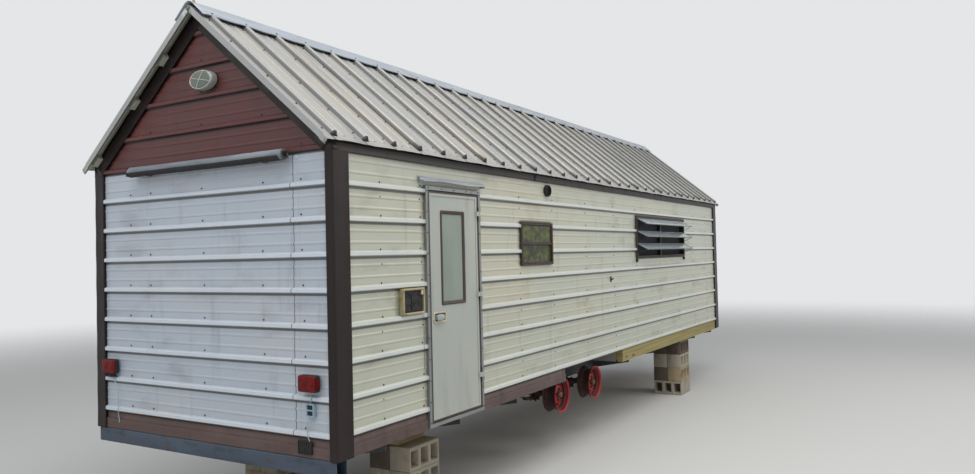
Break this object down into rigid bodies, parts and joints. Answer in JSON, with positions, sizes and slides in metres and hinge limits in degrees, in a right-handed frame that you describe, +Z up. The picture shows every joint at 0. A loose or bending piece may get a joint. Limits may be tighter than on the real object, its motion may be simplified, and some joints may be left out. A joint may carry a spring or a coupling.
{
  "type": "tiny house on wheels",
  "caption": "Gabled tiny house on a tandem trailer frame, with ribbed steel siding and roof, a side door, awning windows and block piers.",
  "frame": {"origin": "on the level floor under the centre of the whole footprint, drawbar included", "axes": "+X from the tail-lamp gable to the hitch, +Y from the door side to the back side, +Z up"},
  "size_m": [10.584, 2.734, 3.8938],
  "materials": {
    "cream_steel": "satin paint",
    "brown_steel": "satin paint",
    "galvanised_steel": "weathered zinc",
    "wall_panel": "plain board",
    "timber": "sawn",
    "frame_steel": "worn paint",
    "bumper_steel": "weathered",
    "wheel_paint": "chalked paint",
    "hub_iron": "rusted",
    "spring_steel": "rusted",
    "concrete": "rough",
    "window_aluminium": "mill finish",
    "window_glass": "clear",
    "fly_screen": "woven mesh",
    "door_skin": "satin paint",
    "dark_plastic": "matt",
    "grey_plastic": "matt",
    "lamp_red": "gloss",
    "awning_cloth": "rolled"
  },
  "bodies": {
    "house": {"axles": "spring_steel", "back_side_spans": "wall_panel", "back_side_wall": "wall_panel", "block_piers": "concrete", "bumper": "bumper_steel", "chassis_rails": "frame_steel", "cord_hatch": "dark_plastic", "corner_trims": "brown_steel", "coupler": "frame_steel", "crossmembers": "frame_steel", "door_frame": "window_aluminium", "door_side_spans": "wall_panel", "door_side_wall": "wall_panel", "drawbar": "frame_steel", "drip_cap": "galvanised_steel", "eave_trims": "brown_steel", "floor_deck": "timber", "gable_lamp": "grey_plastic", "gable_siding": "brown_steel", "hitch_end_wall": "wall_panel", "lamp_wires": "dark_plastic", "leaf_springs": "spring_steel", "pier_packing": "timber", "plate_lamp": "grey_plastic", "purlins": "timber", "rafters_back_side": "timber", "rafters_door_side": "timber", "rake_trims": "brown_steel", "ridge_beam": "timber", "ridge_cap": "galvanised_steel", "rim_timbers": "timber", "rolled_awning": "awning_cloth", "roof_sheet_back_side": "galvanised_steel", "roof_sheet_door_side": "galvanised_steel", "round_vent": "dark_plastic", "side_box": "grey_plastic", "siding_back_side": "cream_steel", "siding_door_side": "cream_steel", "siding_ends": "cream_steel", "skirt_flashing": "brown_steel", "spring_hangers": "spring_steel", "tail_end_wall": "wall_panel", "tail_lamps": "lamp_red", "wheel_wells": "galvanised_steel", "window_frames": "window_aluminium", "window_panes": "window_glass", "window_screens": "fly_screen"},
    "door": {"door_leaf": "door_skin", "door_glass": "window_glass", "door_glass_rim": "window_aluminium", "door_latch": "dark_plastic"},
    "wheel_tail_door_side_set": {"wheel_tail_door_side": "wheel_paint", "hub_tail_door_side": "hub_iron"},
    "wheel_tail_back_side_set": {"wheel_tail_back_side": "wheel_paint", "hub_tail_back_side": "hub_iron"},
    "wheel_hitch_door_side_set": {"wheel_hitch_door_side": "wheel_paint", "hub_hitch_door_side": "hub_iron"},
    "wheel_hitch_back_side_set": {"wheel_hitch_back_side": "wheel_paint", "hub_hitch_back_side": "hub_iron"}
  },
  "joints": [
    {"name": "door_hinge", "type": "hinge", "parent": "house", "child": "door", "pos_m": [-3.4615, -1.249, 1.73], "axis": [0, 0, 1], "range_deg": [0, 120]},
    {"name": "spin_tail_door_side", "type": "hinge", "parent": "house", "child": "wheel_tail_door_side_set", "pos_m": [-1.549, -0.969, 0.58], "axis": [0, 1, 0], "continuous": true},
    {"name": "spin_tail_back_side", "type": "hinge", "parent": "house", "child": "wheel_tail_back_side_set", "pos_m": [-1.549, 0.969, 0.58], "axis": [0, 1, 0], "continuous": true},
    {"name": "spin_hitch_door_side", "type": "hinge", "parent": "house", "child": "wheel_hitch_door_side_set", "pos_m": [-0.691, -0.969, 0.58], "axis": [0, 1, 0], "continuous": true},
    {"name": "spin_hitch_back_side", "type": "hinge", "parent": "house", "child": "wheel_hitch_back_side_set", "pos_m": [-0.691, 0.969, 0.58], "axis": [0, 1, 0], "continuous": true}
  ]
}
